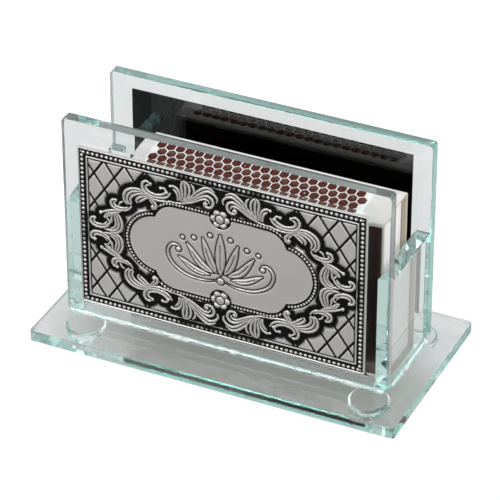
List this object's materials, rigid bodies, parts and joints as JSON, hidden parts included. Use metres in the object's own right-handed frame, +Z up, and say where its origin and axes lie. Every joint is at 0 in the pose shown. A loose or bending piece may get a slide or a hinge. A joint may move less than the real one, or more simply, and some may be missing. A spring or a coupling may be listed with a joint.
{
  "type": "matchbox holder",
  "caption": "Clear bevelled glass stand that holds a box of matches upright in a slot behind an embossed silver plaque, with the matchbox, its drawer and matches.",
  "frame": {"origin": "middle of the holder on the surface that its four feet stand on", "axes": "+X along the length, towards the end where the matchbox stands; +Y towards the back panel; +Z up"},
  "size_m": [0.078, 0.04, 0.0492],
  "materials": {
    "clear_glass": "polished clear float glass with pale green edges",
    "clear_glue": "cured clear adhesive",
    "clear_bumper": "clear soft bumper",
    "antique_silver": "embossed, bright on the raised work and blackened in the recesses",
    "mounting_tape": "white double-sided tape",
    "black_film": "black self-adhesive film, glossy through the glass",
    "printed_card": "white coated card outside, grey-tan board inside and at its cut ends",
    "dark_label": "dark printed paper, left bare",
    "striker_coat": "brown-red striking compound in honeycomb cells",
    "tray_card": "white-faced board, grey-tan at its cut edges",
    "match_wood": "pale unfinished splint",
    "match_head": "red-brown match compound"
  },
  "bodies": {
    "holder": {"base_plate": "clear_glass", "front_panel": "clear_glass", "back_panel": "clear_glass", "left_side_panel": "clear_glass", "right_side_panel": "clear_glass", "glue_bead_front": "clear_glue", "glue_bead_back": "clear_glue", "glue_bead_left": "clear_glue", "glue_bead_right": "clear_glue", "foot_front_left": "clear_bumper", "foot_front_right": "clear_bumper", "foot_back_left": "clear_bumper", "foot_back_right": "clear_bumper", "plaque": "antique_silver", "plaque_tape": "mounting_tape", "back_film": "black_film"},
    "matchbox": {"matchbox_sleeve": "printed_card", "front_label": "dark_label", "striker_top": "striker_coat", "striker_bottom": "striker_coat"},
    "drawer": {"match_tray": "tray_card", "match_sticks": "match_wood", "match_heads": "match_head"}
  },
  "joints": [
    {"name": "matchbox_lift", "type": "slide", "parent": "holder", "child": "matchbox", "axis": [0, 0, 1], "range_m": [0, 0.045]},
    {"name": "drawer_slide", "type": "slide", "parent": "matchbox", "child": "drawer", "axis": [-1, 0, 0], "range_m": [0, 0.01]}
  ]
}
